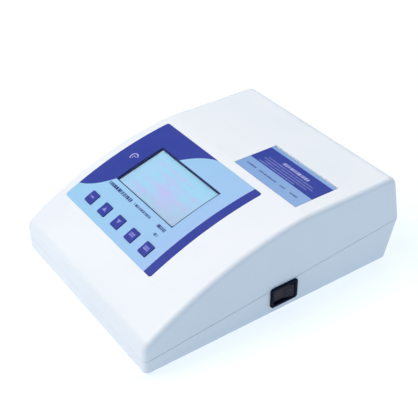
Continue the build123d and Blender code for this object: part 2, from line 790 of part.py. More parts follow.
with BuildPart() as mains_inlet:
    with BuildSketch(rear_plane):
        with Locations((inlet_x, 1.9)):
            RectangleRounded(50, 33, 4)
    extrude(amount=2.5)
    rear_block(inlet_x, 1.9, (28, 29.4), (-24, 0))
    with BuildSketch(rear_plane.offset(-13.5)):
        with Locations((inlet_x, 7.5)):
            Rectangle(24.4, 16.2)
    extrude(amount=17, mode=Mode.SUBTRACT)
    rear_block(inlet_x, -6.7, (24.6, 7.4), (-20, 4), mode=Mode.SUBTRACT)
    with BuildSketch(rear_plane.offset(-1)):
        with Locations((inlet_x - 20, 1.9), (inlet_x + 20, 1.9)):
            Circle(1.5)
    extrude(amount=5, mode=Mode.SUBTRACT)
save(mains_inlet.part, "mains_inlet")

with BuildPart() as inlet_pins:
    rear_block(inlet_x - 7, 5.5, (2, 4), (-13.5, 0.5))
    rear_block(inlet_x + 7, 5.5, (2, 4), (-13.5, 0.5))
    rear_block(inlet_x, 9.5, (2, 4), (-13.5, 0.5))
    rear_block(inlet_x - 7, 5.5, (0.8, 4.8), (-31, -24))
    rear_block(inlet_x + 7, 5.5, (0.8, 4.8), (-31, -24))
    rear_block(inlet_x, 9.5, (0.8, 4.8), (-31, -24))
save(inlet_pins.part, "inlet_pins")

with BuildPart() as fuse_drawer:
    rear_block(inlet_x, -6.7, (24.0, 6.8), (-17, 2.7))
    rear_block(inlet_x, -6.7, (25.6, 7.6), (2.7, 3.7))
    rear_block(inlet_x, -6.7, (21.0, 5.2), (-15.6, -10.2), mode=Mode.SUBTRACT)
save(fuse_drawer.part, "fuse_drawer")

with BuildPart() as fuse:
    with BuildSketch(Plane.YZ.offset(-inlet_x - 10)):
        fuse_point = rear_plane.from_local_coords((inlet_x, -6.7, -12.9))
        with Locations((fuse_point.Y, fuse_point.Z)):
            Circle(2.5)
    extrude(amount=20)
save(fuse.part, "fuse")

with BuildPart() as inlet_screws:
    with BuildSketch(rear_plane.offset(2.5)):
        with Locations((inlet_x - 20, 1.9), (inlet_x + 20, 1.9)):
            Circle(2.8)
    extrude(amount=1.6)
    with BuildSketch(rear_plane.offset(-5)):
        with Locations((inlet_x - 20, 1.9), (inlet_x + 20, 1.9)):
            Circle(1.5)
    extrude(amount=7.5)
    for screw_x in (inlet_x - 20, inlet_x + 20):
        rear_block(screw_x, 1.9, (3.6, 0.8), (3.3, 5), mode=Mode.SUBTRACT)
        rear_block(screw_x, 1.9, (0.8, 3.6), (3.3, 5), mode=Mode.SUBTRACT)
save(inlet_screws.part, "inlet_screws")

# Data port with its board

with BuildPart() as data_port:
    rear_block(port_x, 2, (12.2, 11.0), (-14, 0.6))
    rear_block(port_x, 2, (10.6, 9.4), (-11, 1), mode=Mode.SUBTRACT)
    rear_block(port_x, 2, (5.6, 3.2), (-11.5, -1))
    rear_block(port_x, 2, (44, 22), (-15.6, -14))
save(data_port.part, "data_port")

# Cooling fan behind the rear grille

with BuildPart() as fan_frame:
    rear_block(fan_x, fan_y, (30, 30), (-wall - 8, -wall))
    with BuildSketch(rear_plane.offset(-wall - 9)):
        with Locations((fan_x, fan_y)):
            Circle(14)
            with GridLocations(24, 24, 2, 2):
                Circle(1.3)
    extrude(amount=10, mode=Mode.SUBTRACT)
    with BuildSketch(rear_plane.offset(-wall - 8)):
        with Locations((fan_x, fan_y)):
            Circle(6.5)
            Rectangle(29, 1.6)
            Rectangle(1.6, 29)
            Circle(1.05, mode=Mode.SUBTRACT)
    extrude(amount=1.6)
save(fan_frame.part, "fan_frame")

with BuildPart() as fan_rotor:
    with BuildSketch(rear_plane.offset(-wall - 6)):
        with Locations((fan_x, fan_y)):
            Circle(6.5)
    extrude(amount=5.2)
    with BuildSketch(rear_plane.offset(-wall - 7.6)):
        with Locations((fan_x, fan_y)):
            Circle(1.0)
    extrude(amount=2)
    with BuildSketch(rear_plane.offset(-wall - 5.6)):
        with Locations((fan_x, fan_y)):
            with PolarLocations(9.6, 7):
                Rectangle(7.2, 1.1, rotation=28)
    extrude(amount=4.4)
save(fan_rotor.part, "fan_rotor")

# Feet and screws

with BuildPart() as feet:
    for x, y in foot_centres:
        post(x, y, (0, base + 1), 7.0)
    fillet(feet.faces().group_by(Axis.Z)[0].edges(), radius=0.8)
save(feet.part, "feet")


def pan_screws(places, head_z, head_radius, head_height, shank_z, shank_radius):
    """One solid screw per place, head first."""
    with BuildPart() as screws:
        for x, y in places:
            post(x, y, (head_z, head_z + head_height), head_radius)
            post(x, y, shank_z, shank_radius)
    return screws.part


save(pan_screws(case_posts, base + 2.6, 2.9, 2.4, (base + 5, base + 29), 1.5), "case_screws")
save(pan_screws(plate_posts, plate_z, 2.8, 2.0, (base + 11, plate_z), 1.25), "plate_screws")
save(pan_screws(board_posts, board_z[1], 2.5, 1.6, (base + 4, board_z[1]), 1.1), "board_screws")
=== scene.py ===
import math

import bpy
from mathutils import Matrix, Vector


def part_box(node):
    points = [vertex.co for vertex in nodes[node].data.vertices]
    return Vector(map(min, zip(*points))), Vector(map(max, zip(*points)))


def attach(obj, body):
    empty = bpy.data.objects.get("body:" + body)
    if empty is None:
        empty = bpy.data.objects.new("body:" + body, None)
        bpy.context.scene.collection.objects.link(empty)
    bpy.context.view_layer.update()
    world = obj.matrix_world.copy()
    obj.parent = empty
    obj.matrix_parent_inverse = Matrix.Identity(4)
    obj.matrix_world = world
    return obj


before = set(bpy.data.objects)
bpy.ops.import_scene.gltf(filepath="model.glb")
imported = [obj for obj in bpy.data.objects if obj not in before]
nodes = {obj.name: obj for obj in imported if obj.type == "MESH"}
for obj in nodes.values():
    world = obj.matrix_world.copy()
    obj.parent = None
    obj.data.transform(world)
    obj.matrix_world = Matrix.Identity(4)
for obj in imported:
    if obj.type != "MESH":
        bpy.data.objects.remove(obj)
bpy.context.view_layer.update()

MM = 0.001

# Places on the casing, in millimetres in the row frame, as the CAD has them
DISPLAY_X = (-63.8, 28.7)
DISPLAY_Y = (-60.8, -10.2)
KEY_Y = -87.9
KEY_PITCH = 23.4
KEY_MIDDLE_X = -17.4
KEY_COUNT = 5
LID_X = (2.0, 88.3)
SWITCH_Y = 2.6
SWITCH_Z = 21.1
ROCKER_X = 103.4
ROCKER_ANGLE = 7.0
ROCKER_DIP = 1.6
ROCKER_TIP = (2.8, 10.3)

# Refractive indices. The window's is low, as if coated, so that the lights don't whiten the screen
SOLID_INDEX = 1.5
QUARTZ_INDEX = 1.46
WINDOW_INDEX = 1.2

# Noise scales in cells per metre
CLOUD = 14.0
SKY_CLOUD = 22.0
SMEAR = 25.0
BLOTCH = 30.0
ROCKER_CLOUD = 40.0
SMUDGE = 60.0
FILM_SMUDGE = 70.0
WIPE_MARKS = 90.0
METAL_GRAIN = 900.0
ROCKER_GRAIN = 1500.0
CASE_GRAIN = 1900.0
PLASTIC_GRAIN = 2600.0
FILM_GRAIN = 3200.0

# Soft edge of printed shapes, in millimetres
PRINT_SOFT = 0.08

# Colour sockets of the Mix node, which share their names with its other sockets
MIX_FACTOR, MIX_FIRST, MIX_SECOND, MIX_RESULT = 0, 6, 7, 2


def srgb(red, green, blue):
    """Linear colour from 0 to 255 display values."""

    def linear(value):
        v = value / 255
        return v / 12.92 if v <= 0.04045 else ((v + 0.055) / 1.055) ** 2.4

    return (linear(red), linear(green), linear(blue), 1.0)


def shaded(colour, factor):
    """The colour with its light scaled by a factor under 1."""
    return tuple(c * factor for c in colour[:3]) + (1.0,)


class Graph:
    """A material's node tree with short calls for the nodes used here."""

    def __init__(self, name, **constants):
        self.material = bpy.data.materials.new(name)
        self.material.use_nodes = True
        self.tree = self.material.node_tree
        self.shader = self.tree.nodes["Principled BSDF"]
        for socket, value in constants.items():
            self.shader.inputs[socket.replace("_", " ")].default_value = value
        self.coords = self.tree.nodes.new("ShaderNodeTexCoord").outputs["Object"]
        self._axes = None

    def put(self, socket, value):
        """Link or set one input."""
        if isinstance(value, bpy.types.NodeSocket):
            self.tree.links.new(value, socket)
        else:
            socket.default_value = value

    def node(self, kind, inputs=(), **settings):
        """New shader node with its settings and inputs."""
        made = self.tree.nodes.new("ShaderNode" + kind)
        for key, value in settings.items():
            setattr(made, key, value)
        for key, value in dict(inputs).items():
            self.put(made.inputs[key], value)
        return made

    def math(self, operation, *values):
        """Result of one arithmetic node."""
        made = self.node("Math", operation=operation)
        for socket, value in zip(made.inputs, values):
            self.put(socket, value)
        return made.outputs[0]

    def axes(self):
        """Object x, y and z in millimetres."""
        if self._axes is None:
            split = self.node("SeparateXYZ", {"Vector": self.coords})
            self._axes = [self.math("MULTIPLY", split.outputs[i], 1 / MM) for i in range(3)]
        return self._axes

    def noise(self, scale, detail=3.0, roughness=0.5, vector=None):
        """Cloudy noise over the surface."""
        inputs = {"Scale": scale, "Detail": detail, "Roughness": roughness}
        inputs["Vector"] = vector or self.coords
        return self.node("TexNoise", inputs).outputs["Fac"]

    def noise_line(self, along, scale, seed):
        """Noise that varies along one value only."""
        w = self.math("MULTIPLY_ADD", along, scale, seed)
        inputs = {"W": w, "Scale": 1.0, "Detail": 1.0}
        return self.node("TexNoise", inputs, noise_dimensions="1D").outputs["Fac"]

    def ramp(self, value, low, high, to_low=0.0, to_high=1.0):
        """Straight change from to_low to to_high between low and high, level beyond them."""
        made = self.node("MapRange", clamp=True)
        keys = ("Value", "From Min", "From Max", "To Min", "To Max")
        for key, given in zip(keys, (value, low, high, to_low, to_high)):
            self.put(made.inputs[key], given)
        return made.outputs["Result"]

    def mix(self, factor, first, second):
        """Colour between first, at factor 0, and second, at factor 1."""
        made = self.node("Mix", data_type="RGBA")
        self.put(made.inputs[MIX_FACTOR], factor)
        self.put(made.inputs[MIX_FIRST], first)
        self.put(made.inputs[MIX_SECOND], second)
        return made.outputs[MIX_RESULT]

    def band(self, value, low, high, soft=0.1):
        """1 between low and high, with soft edges."""
        middle = (low + high) / 2
        half = (high - low) / 2
        away = self.math("ABSOLUTE", self.math("SUBTRACT", value, middle))
        return self.ramp(away, half - soft, half + soft, 1.0, 0.0)

    def patch(self, x_limits, y_limits, soft=0.1):
        """1 inside a rectangle seen from above, with soft edges."""
        x, y, _ = self.axes()
        return self.math("MULTIPLY", self.band(x, *x_limits, soft), self.band(y, *y_limits, soft))

    def length(self, first, second):
        """Distance from the origin of a point given by two values."""
        square = self.math("MULTIPLY", second, second)
        return self.math("SQRT", self.math("MULTIPLY_ADD", first, first, square))

    def any(self, *masks):
        """The strongest of several masks."""
        total = masks[0]
        for mask in masks[1:]:
            total = self.math("MAXIMUM", total, mask)
        return total

    def faded(self, mask, strength):
        """The mask at part of its strength."""
        return self.math("MULTIPLY", mask, strength)

    def strokes(self, x_limits, y_middle, height, grain, seed, threshold):
        """A row of uneven upright dashes that stands in for small print."""
        x, _, _ = self.axes()
        letters = self.math("GREATER_THAN", self.noise_line(x, grain, seed), threshold)
        row = self.patch(x_limits, (y_middle - height / 2, y_middle + height / 2), PRINT_SOFT)
        return self.math("MULTIPLY", row, letters)

    def bump(self, height, strength, distance):
        """Normal of a surface roughened by a height value."""
        made = self.node("Bump", {"Height": height, "Strength": strength, "Distance": distance})
        return made.outputs["Normal"]

    def finish(self, colour=None, roughness=None, normal=None):
        """Feed the shader and return the material."""
        surface = (("Base Color", colour), ("Roughness", roughness), ("Normal", normal))
        for socket, value in surface:
            if value is not None:
                self.put(self.shader.inputs[socket], value)
        return self.material


def moulded(
    name, colour, shade, gloss=(0.42, 0.55), grain=PLASTIC_GRAIN, depth=0.00002, wall_shade=None,
    **constants
):
    """Injection-moulded plastic: fine spark texture, slight clouding and worn gloss on edges.

    The patch given after depth is painted shade: it colours one x, y patch in a second, dark
    colour, down the walls of an opening where shade falls.
    """
    g = Graph(name, IOR=SOLID_INDEX, **constants)
    cloud = g.noise(CLOUD, 4.0)
    fine = g.noise(grain, 2.0, 0.6)
    edge = g.ramp(g.node("NewGeometry").outputs["Pointiness"], 0.5, 0.58)
    tone = g.mix(g.ramp(cloud, 0.35, 0.7), colour, shade)
    tone = g.mix(g.faded(edge, 0.25), tone, colour)
    # Painted shade: the walls of the opening take the dark colour where shade falls in them
    if wall_shade:
        patch_x, patch_y, paint = wall_shade
        tone = g.mix(g.patch(patch_x, patch_y, 0.05), tone, paint)
    rough = g.ramp(g.noise(SMUDGE, 5.0), 0.3, 0.7, *gloss)
    rough = g.math("SUBTRACT", rough, g.faded(edge, 0.08))
    return g.finish(tone, rough, g.bump(fine, 0.35, depth))


def metal(name, colour, rough=(0.25, 0.4), brush=None):
    """Metal with a cast or brushed surface. brush stretches the grain along one axis."""
    g = Graph(name, Metallic=1.0)
    vector = g.coords
    if brush:
        vector = g.node("Mapping", {"Vector": g.coords, "Scale": brush}).outputs["Vector"]
    grain = g.noise(METAL_GRAIN, 4.0, 0.6, vector)
    smear = g.noise(SMEAR, 3.0)
    tone = g.mix(g.ramp(smear, 0.3, 0.75), colour, shaded(colour, 0.78))
    return g.finish(tone, g.ramp(grain, 0.3, 0.7, *rough), g.bump(grain, 0.3, 0.00001))


def glass(name, tint, rough=0.03, ior=SOLID_INDEX):
    """Clear or tinted glass with faint smears in its gloss."""
    g = Graph(name, IOR=ior, Transmission_Weight=0.95)
    smear = g.noise(WIPE_MARKS, 4.0)
    tone = g.mix(g.ramp(smear, 0.3, 0.8), tint, shaded(tint, 0.96))
    gloss = g.ramp(smear, 0.4, 0.8, rough, rough + 0.05)
    return g.finish(tone, gloss, g.bump(smear, 0.02, 0.00001))


# Casing, with painted shade in a dark colour on the walls of the display opening

WHITE = srgb(233, 236, 240)
WHITE_SHADE = srgb(228, 232, 237)
# Colour of the painted shade on the walls of the display opening
OPENING_PAINTED_SHADE = srgb(54, 60, 140)
OPENING_MARGIN = 0.3
OPENING_REAR_MARGIN = 1.4
CASE_FINISH = (WHITE, WHITE_SHADE, (0.4, 0.5), CASE_GRAIN, 0.000025)

opening_x = (DISPLAY_X[0] - OPENING_MARGIN, DISPLAY_X[1] + OPENING_MARGIN)
opening_y = (DISPLAY_Y[0] - OPENING_MARGIN, DISPLAY_Y[1] + OPENING_REAR_MARGIN)
case_white = moulded("case_abs_white", *CASE_FINISH)
case_top_white_shaded_opening = moulded(
    "case_abs_white_opening_shade", *CASE_FINISH, (opening_x, opening_y, OPENING_PAINTED_SHADE)
)

# Printed films. A print row is its x limits, middle y, height, grain, seed and threshold

NAVY = srgb(58, 70, 156)
NAVY_DEEP = srgb(50, 58, 146)
SKY = srgb(155, 196, 230)
SKY_CYAN = srgb(148, 201, 230)
SKY_LILAC = srgb(159, 190, 231)
LILAC = srgb(188, 186, 232)
INK = srgb(38, 44, 120)
OUTLINE_INK = srgb(26, 34, 88)
OUTLINE = 0.8
THIN_OUTLINE = 0.2
STRIPE_X = 46.1
STRIPE_SOFT = 0.1
SKY_SPAN = (-90.0, 50.0)
SWEEP_CENTRE = (-50.0, -35.5)
SWEEP_RISE = 56.0
SWEEP_WIDTH = 28.0
SWEEP_SOFT = 0.15
OVERLAY_PRINT = (
    ((-66.0, -27.0), -67.6, 3.4, 0.95, 3.1, 0.44),
    ((-23.0, 4.5), -67.6, 2.4, 1.2, 9.4, 0.48),
    ((15.0, 27.5), -67.6, 3.2, 0.9, 21.7, 0.44),
    ((20.5, 26.5), -74.6, 2.6, 0.7, 5.2, 0.5),
)

# Round mark: an arc over a peak, slanted by the angle that has about this cosine and sine
MARK_CENTRE = (-75.0, -35.6)
MARK_RADIUS = 3.9
MARK_SLANT = (0.75, 0.66)
MARK_SOFT = 0.12
ARC_INSIDE, ARC_OUTSIDE = 0.55, 0.45
ARC_CUT = (-1.6, -1.2)
PEAK_STEEPNESS = 1.1
PEAK_LINE = (0.7, 1.5)
PEAK_GAP = (1.7, 1.5)

# Label on the lid: a dark panel with one title, small lines below it and a row of dashes in front
PANEL_Y = (43.3, 67.6)
PANEL_TITLE = ((30.0, 65.0), 59.4, 3.5, 0.85, 2.3, 0.45)
LINE_ENDS = ((14, 76), (12, 79), (16, 74), (12, 62))
LINE_TOP = 54.9
LINE_PITCH = 3.1
LINE_HEIGHT = 1.5
DASH_ENDS = ((7.4, 21.2), (25.3, 49.7), (55.0, 63.0), (69.0, 79.7))
DASH_Y = 34.7
DASH_HEIGHT = 1.9

# Signs on the keys. A half is measured from the sign's middle, and keys are counted from 0
BAR_HALF = (2.6, 0.7)
ARROW_HALF = 1.9
ARROW_SPREAD = 0.72
LEGEND_HALF = 3.2
LEGEND_RISE = 0.95
LEGEND_HEIGHT = 1.5
FIRST_ARROW, SECOND_ARROW = 1, 2


def film_surface(g):
    """Gloss and fine matt texture of a screen-printed polyester film."""
    fine = g.noise(FILM_GRAIN, 2.0, 0.6)
    rough = g.ramp(g.noise(FILM_SMUDGE, 4.0), 0.3, 0.7, 0.3, 0.42)
    return rough, g.bump(fine, 0.25, 0.000012)


def round_mark(g):
    """Mask of the mark: a ring cut off below a slanted line, and a small peak inside it."""
    x, y, _ = g.axes()
    cosine, sine = MARK_SLANT
    from_x = g.math("SUBTRACT", x, MARK_CENTRE[0])
    from_y = g.math("SUBTRACT", y, MARK_CENTRE[1])
    radius = g.length(from_x, from_y)
    arc = g.band(radius, MARK_RADIUS - ARC_INSIDE, MARK_RADIUS + ARC_OUTSIDE, MARK_SOFT)
    rise = g.math("SUBTRACT", g.math("MULTIPLY", from_y, cosine), g.math("MULTIPLY", from_x, sine))
    cross = g.math("ADD", g.math("MULTIPLY", from_y, sine), g.math("MULTIPLY", from_x, cosine))
    cut = g.ramp(rise, *ARC_CUT)
    roof = g.math("MULTIPLY_ADD", g.math("ABSOLUTE", cross), PEAK_STEEPNESS, rise)
    peak = g.band(roof, *PEAK_LINE, MARK_SOFT)
    inside = g.ramp(radius, MARK_RADIUS - PEAK_GAP[0], MARK_RADIUS - PEAK_GAP[1], 1.0, 0.0)
    return g.any(g.math("MULTIPLY", arc, cut), g.math("MULTIPLY", peak, inside))


def overlay_film():
    """Sky film with a navy sweep and stripe, a dark line round the display, print and mark."""
    g = Graph("overlay_printed_film", IOR=SOLID_INDEX, Specular_IOR_Level=0.25)
    x, y, _ = g.axes()
    wave = g.math("TANH", g.math("DIVIDE", g.math("SUBTRACT", x, SWEEP_CENTRE[0]), SWEEP_WIDTH))
    sweep = g.math("MULTIPLY_ADD", wave, SWEEP_RISE, SWEEP_CENTRE[1])
    dark = g.ramp(g.math("SUBTRACT", y, sweep), -SWEEP_SOFT, SWEEP_SOFT)
    stripe = g.ramp(x, STRIPE_X - STRIPE_SOFT, STRIPE_X + STRIPE_SOFT)
    sky = g.mix(g.ramp(x, *SKY_SPAN), SKY_CYAN, SKY_LILAC)
    sky = g.mix(g.ramp(g.noise(SKY_CLOUD, 3.0), 0.35, 0.7, 0.0, 0.6), sky, SKY)
    navy = g.mix(g.noise(BLOTCH, 3.0), NAVY, NAVY_DEEP)
    tone = g.mix(g.any(dark, stripe), sky, navy)
    title = g.any(*(g.strokes(*row) for row in OVERLAY_PRINT))
    tone = g.mix(title, tone, INK)
    outline_x = (DISPLAY_X[0] - THIN_OUTLINE, DISPLAY_X[1] + OUTLINE)
    outline_y = (DISPLAY_Y[0] - OUTLINE, DISPLAY_Y[1] + THIN_OUTLINE)
    tone = g.mix(g.patch(outline_x, outline_y, PRINT_SOFT), tone, OUTLINE_INK)
    tone = g.mix(round_mark(g), tone, LILAC)
    return g.finish(tone, *film_surface(g))


def label_film():
    """Pale blue label with a navy panel, a title, small lines and a row of dashes."""
    g = Graph("label_printed_film", IOR=SOLID_INDEX, Specular_IOR_Level=0.25)
    x, y, _ = g.axes()
    pale = g.mix(g.ramp(x, *LID_X), srgb(130, 163, 212), srgb(140, 172, 216))
    dark = g.mix(g.noise(BLOTCH, 3.0), srgb(56, 70, 158), srgb(46, 56, 146))
    tone = g.mix(g.band(y, *PANEL_Y, 0.15), pale, dark)
    title = g.strokes(*PANEL_TITLE)
    lines = []
    for index, ends in enumerate(LINE_ENDS):
        line_y = LINE_TOP - LINE_PITCH * index
        lines.append(g.strokes(ends, line_y, LINE_HEIGHT, 1.5, 11.0 + 7 * index, 0.47))
    tone = g.mix(g.faded(g.any(*lines), 0.4), tone, srgb(176, 180, 232))
    tone = g.mix(g.faded(title, 0.7), tone, srgb(196, 196, 236))
    dashes = [
        g.strokes(ends, DASH_Y, DASH_HEIGHT, 1.3, 31.0 + ends[0], 0.46) for ends in DASH_ENDS
    ]
    tone = g.mix(g.faded(g.any(*dashes), 0.8), tone, INK)
    return g.finish(tone, *film_surface(g))


def key_arrow(g, across, up, lean):
    """Mask of a triangle that points up for a lean of -1 and down for a lean of 1."""
    from_tip = g.math("MULTIPLY_ADD", up, lean, ARROW_HALF)
    edge = g.math("MULTIPLY", from_tip, ARROW_SPREAD)
    side = g.math("SUBTRACT", edge, g.math("ABSOLUTE", across))
    inside = g.math("MINIMUM", side, g.math("SUBTRACT", 2 * ARROW_HALF, from_tip))
    return g.ramp(inside, -0.1, 0.15)


def key_signs(g):
    """One mask for each generic sign: a bar, two arrows and two pairs of printed rows."""
    x, y, _ = g.axes()
    up = g.math("SUBTRACT", y, KEY_Y)
    signs = []
    for index in range(KEY_COUNT):
        middle = KEY_MIDDLE_X + (index - KEY_COUNT // 2) * KEY_PITCH
        if index == 0:
            bar_x = (middle - BAR_HALF[0], middle + BAR_HALF[0])
            bar_y = (KEY_Y - BAR_HALF[1], KEY_Y + BAR_HALF[1])
            signs.append(g.patch(bar_x, bar_y, 0.15))
        elif index <= SECOND_ARROW:
            across = g.math("SUBTRACT", x, middle)
            signs.append(key_arrow(g, across, up, -1.0 if index == FIRST_ARROW else 1.0))
        else:
            row_x = (middle - LEGEND_HALF, middle + LEGEND_HALF)
            for rise in (LEGEND_RISE, -LEGEND_RISE):
                seed = 7.0 * index + rise
                signs.append(g.strokes(row_x, KEY_Y + rise, LEGEND_HEIGHT, 1.1, seed, 0.4))
    return signs


def key_film():
    """Navy key caps with one pale sign each."""
    g = Graph("key_printed_cap", IOR=SOLID_INDEX, Specular_IOR_Level=0.25)
    tone = g.mix(g.noise(SMUDGE, 3.0), srgb(60, 68, 156), srgb(50, 56, 146))
    tone = g.mix(g.faded(g.any(*key_signs(g)), 0.8), tone, srgb(150, 144, 222))
    return g.finish(tone, *film_surface(g))


# Display: lit screen behind a printed window

SCREEN_CYAN = srgb(148, 208, 232)
SCREEN_PALE = srgb(170, 188, 214)
SCREEN_LILAC = srgb(184, 184, 232)
SCREEN_PINK = srgb(204, 172, 222)
SCREEN_GRID = srgb(120, 150, 190)
# Colour of the painted highlight just inside the screen's left edge
SCREEN_HIGHLIGHT_PAINT = srgb(224, 230, 244)
SCREEN_GLOW = 0.23
WASH_LEAN = 0.4
WASH_SPAN = (28.0, 72.0)
CLOUD_X = (-50.0, 18.0)
CLOUD_Y = (-58.0, -18.0)
CLOUD_SOFT = (22.0, 14.0)
PIXEL_HALF = 0.3
PIXEL_GAP = 0.05
HIGHLIGHT_INSIDE = (0.8, 1.4)
SCREEN_PRINT = (
    ((-52.0, 4.0), -20.0, 3.4, 0.55, 4.0, 0.5),
    ((-40.0, 16.0), -28.0, 3.4, 0.5, 14.0, 0.5),
    ((-46.0, -8.0), -40.0, 5.0, 0.5, 24.0, 0.46),
    ((0.0, 18.0), -40.0, 5.0, 0.5, 34.0, 0.46),
    ((-54.0, 8.0), -51.0, 2.8, 0.7, 44.0, 0.5),
)
WINDOW_INK = srgb(36, 42, 100)
WINDOW_CLEAR = (0.97, 0.985, 1.0, 1.0)
WINDOW_BORDER = 0.5
WINDOW_SHIFT = 0.45


def lit_display():
    """Pale liquid-crystal screen: cyan to pale wash, lilac cloud, faint rows, fine pixel grid, and
    a painted highlight inside its left edge.
    """
    g = Graph("display_lit", IOR=SOLID_INDEX, Roughness=0.3, Specular_IOR_Level=0.05)
    x, y, _ = g.axes()
    slant = g.math("MULTIPLY_ADD", x, WASH_LEAN, g.math("MULTIPLY", y, -1.0))
    wash = g.mix(g.ramp(slant, *WASH_SPAN), SCREEN_CYAN, SCREEN_PALE)
    cloud_x = g.band(x, *CLOUD_X, CLOUD_SOFT[0])
    middle = g.math("MULTIPLY", cloud_x, g.band(y, *CLOUD_Y, CLOUD_SOFT[1]))
    cloud = g.math("MULTIPLY", middle, g.ramp(g.noise(BLOTCH, 3.0), 0.42, 0.6, 0.1, 0.75))
    wash = g.mix(cloud, wash, SCREEN_LILAC)
    rows = g.any(*(g.strokes(*row) for row in SCREEN_PRINT))
    tone = g.mix(g.faded(rows, 0.4), wash, SCREEN_PINK)
    grid = g.math("PINGPONG", x, PIXEL_HALF)
    tone = g.mix(g.ramp(grid, 0.0, PIXEL_GAP, 0.06, 0.0), tone, SCREEN_GRID)
    # Painted highlight: a pale band just inside the screen's left edge, which also glows with the
    # screen
    edge_highlight = g.band(x, DISPLAY_X[0] + HIGHLIGHT_INSIDE[0], DISPLAY_X[0] + HIGHLIGHT_INSIDE[1], 0.15)
    tone = g.mix(g.faded(edge_highlight, 0.6), tone, SCREEN_HIGHLIGHT_PAINT)
    g.shader.inputs["Emission Strength"].default_value = SCREEN_GLOW
    g.put(g.shader.inputs["Emission Color"], tone)
    return g.finish(tone)


def printed_window():
    """Clear acrylic window with a thin dark border printed round its edge."""
    g = Graph("window_acrylic_printed", IOR=WINDOW_INDEX, Specular_IOR_Level=0.05)
    smear = g.noise(WIPE_MARKS, 4.0)
    border_x = (DISPLAY_X[0] + WINDOW_BORDER, DISPLAY_X[1] - WINDOW_BORDER)
    border_y = (
        DISPLAY_Y[0] + WINDOW_SHIFT + WINDOW_BORDER,
        DISPLAY_Y[1] + WINDOW_SHIFT - WINDOW_BORDER,
    )
    clear = g.patch(border_x, border_y, PRINT_SOFT)
    tone = g.mix(clear, WINDOW_INK, WINDOW_CLEAR)
    g.put(g.shader.inputs["Transmission Weight"], g.faded(clear, 0.96))
    return g.finish(tone, g.ramp(smear, 0.4, 0.8, 0.02, 0.06), g.bump(smear, 0.02, 0.00001))


# Parts inside and on the sides


def circuit_board():
    """Green solder mask with raised tracks and pale pads."""
    g = Graph("circuit_board_mask", IOR=SOLID_INDEX)
    bricks = {"Vector": g.coords, "Scale": 160.0, "Mortar Size": 0.06}
    cells = g.node("TexBrick", bricks).outputs["Fac"]
    tracks = g.math("MULTIPLY", cells, g.ramp(g.noise(120.0, 2.0), 0.45, 0.5))
    tone = g.mix(tracks, srgb(22, 92, 52), srgb(52, 130, 78))
    pads = g.node("TexVoronoi", {"Vector": g.coords, "Scale": 210.0}).outputs["Distance"]
    tone = g.mix(g.ramp(pads, 0.12, 0.16, 1.0, 0.0), tone, srgb(186, 176, 138))
    return g.finish(tone, g.ramp(tracks, 0.0, 1.0, 0.4, 0.28), g.bump(tracks, 0.4, 0.00004))


def striped_filters():
    """Order filters, tinted by height so that discs round the wheel differ."""
    g = Graph("order_filter_glass", IOR=SOLID_INDEX, Transmission_Weight=0.8)
    low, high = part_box("order_filters")
    _, _, z = g.axes()
    level = g.ramp(z, low.z / MM, high.z / MM)
    tone = g.mix(level, srgb(230, 160, 70), srgb(190, 70, 60))
    tone = g.mix(g.ramp(level, 0.5, 1.0), tone, srgb(90, 150, 210))
    return g.finish(tone, g.ramp(g.noise(WIPE_MARKS), 0.3, 0.7, 0.04, 0.1))


def ruled_mirror():
    """Mirror with fine ruled lines, and a hue that changes up its face as a painted rainbow sheen
    of the light the lines split.
    """
    g = Graph("grating_ruled", Metallic=1.0)
    _, _, z = g.axes()
    # Painted sheen: a rainbow of split light, set as the base colour and changing with height
    painted_rainbow = g.node("CombineColor", mode="HSV")
    hue = g.math("FRACT", g.math("MULTIPLY", z, 0.09))
    for socket, value in zip(painted_rainbow.inputs, (hue, 0.35, 0.85)):
        g.put(socket, value)
    lines = g.math("PINGPONG", z, 0.12)
    gloss = g.ramp(lines, 0.0, 0.12, 0.1, 0.16)
    return g.finish(painted_rainbow.outputs[0], gloss, g.bump(lines, 0.2, 0.00001))


def rocker_cap():
    """Brown-black rocker with a faint cloud in its gloss and fine spark texture."""
    g = Graph("rocker_gloss", IOR=SOLID_INDEX, Specular_IOR_Level=0.15)
    cloud = g.ramp(g.noise(ROCKER_CLOUD, 4.0), 0.3, 0.7)
    tone = g.mix(cloud, srgb(40, 32, 46), srgb(28, 23, 38))
    rough = g.ramp(g.noise(SMUDGE, 5.0), 0.3, 0.7, 0.2, 0.32)
    return g.finish(tone, rough, g.bump(g.noise(ROCKER_GRAIN, 2.0), 0.3, 0.00001))


black_plastic = moulded(
    "black_plastic_grain", srgb(30, 31, 36), srgb(22, 23, 27), (0.38, 0.5), 2200.0
)
switch_plastic = moulded(
    "switch_frame_black", srgb(10, 24, 46), srgb(6, 17, 36), (0.4, 0.52), Specular_IOR_Level=0.06
)
sign_plastic = moulded(
    "rocker_sign_grey", srgb(72, 68, 88), srgb(60, 56, 76), (0.4, 0.55), Specular_IOR_Level=0.15
)
chamber_black = moulded(
    "chamber_matt_black", srgb(26, 26, 28), srgb(20, 20, 22), (0.6, 0.75), 1600.0
)
rubber = moulded("rubber_black", srgb(38, 38, 40), srgb(28, 28, 30), (0.7, 0.85), 1400.0, 0.00004)
foam = moulded("foam_open_cell", srgb(36, 36, 38), srgb(22, 22, 24), (0.85, 0.95), 900.0, 0.0002)
grey_plastic = moulded("grey_acetal", srgb(112, 114, 120), srgb(98, 100, 106))
ceramic = moulded("steatite", srgb(224, 218, 202), srgb(206, 198, 178), (0.5, 0.7), 1200.0)
tape = moulded("transformer_tape", srgb(206, 168, 62), srgb(176, 138, 48), (0.25, 0.4), 700.0)
chips = moulded("chip_epoxy", srgb(34, 34, 37), srgb(24, 24, 27), (0.35, 0.6), 3000.0)
steel = metal("steel_plated", (0.58, 0.58, 0.6, 1.0), (0.22, 0.38))
